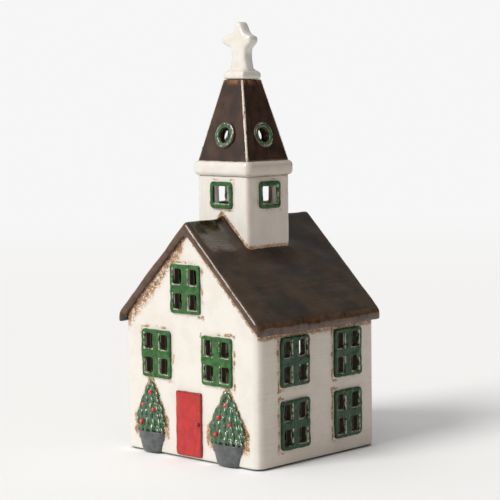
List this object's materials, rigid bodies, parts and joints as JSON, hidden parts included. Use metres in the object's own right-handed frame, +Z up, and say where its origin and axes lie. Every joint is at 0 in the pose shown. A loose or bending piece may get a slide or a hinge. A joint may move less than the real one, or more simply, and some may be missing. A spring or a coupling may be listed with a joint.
{
  "type": "ceramic christmas village house",
  "caption": "Glazed ceramic village house with gable roof, tower, spire and star, pierced windows, relief door and trees, and a battery light in the floor.",
  "frame": {"origin": "middle of the overall box, on the ground under the felt pads", "axes": "+Z up, front gable and door towards -Y, +X to the right seen from the front"},
  "size_m": [0.123, 0.1152, 0.2674],
  "materials": {
    "ivory_glaze": "gloss",
    "brown_glaze": "gloss",
    "green_glaze": "gloss",
    "red_glaze": "gloss",
    "tree_glaze": "gloss",
    "pot_glaze": "satin",
    "felt": "matte",
    "rubber": "matte",
    "black_plastic": "satin",
    "switch_plastic": "satin",
    "battery_can": "gloss",
    "spring_steel": "satin",
    "screw_steel": "satin",
    "board": "satin",
    "led_resin": "polished"
  },
  "bodies": {
    "house": {"back_gable_window": "green_glaze", "batteries": "battery_can", "board_screws": "screw_steel", "circuit_board": "board", "cornice": "ivory_glaze", "door": "red_glaze", "door_knob": "red_glaze", "finial": "ivory_glaze", "foot_pads": "felt", "front_gable_window": "green_glaze", "front_left_window": "green_glaze", "front_right_window": "green_glaze", "grip_ring": "rubber", "house_walls": "ivory_glaze", "led": "led_resin", "left_baubles": "red_glaze", "left_lower_front_window": "green_glaze", "left_lower_rear_window": "green_glaze", "left_pot": "pot_glaze", "left_tree": "tree_glaze", "left_upper_front_window": "green_glaze", "left_upper_rear_window": "green_glaze", "light_cover": "black_plastic", "light_housing": "black_plastic", "link_contact": "spring_steel", "negative_contact": "spring_steel", "positive_contact": "spring_steel", "right_baubles": "red_glaze", "right_lower_front_window": "green_glaze", "right_lower_rear_window": "green_glaze", "right_pot": "pot_glaze", "right_tree": "tree_glaze", "right_upper_front_window": "green_glaze", "right_upper_rear_window": "green_glaze", "roof": "brown_glaze", "spire": "brown_glaze", "spire_back_ring": "green_glaze", "spire_front_ring": "green_glaze", "spire_left_ring": "green_glaze", "spire_right_ring": "green_glaze", "star": "ivory_glaze", "switch_body": "black_plastic", "switch_leads": "spring_steel", "tower": "ivory_glaze", "tower_back_window": "green_glaze", "tower_front_window": "green_glaze", "tower_left_window": "green_glaze", "tower_right_window": "green_glaze"},
    "battery_door": {"battery_door": "black_plastic"},
    "switch_knob": {"switch_knob": "switch_plastic"}
  },
  "joints": [
    {"name": "battery_door_hinge", "type": "hinge", "parent": "house", "child": "battery_door", "pos_m": [-0.0255, 0.0009, 0.00265], "axis": [0, 1, 0], "range_deg": [0, 100]},
    {"name": "switch_slide", "type": "slide", "parent": "house", "child": "switch_knob", "axis": [1, 0, 0], "range_m": [0, 0.004]}
  ]
}
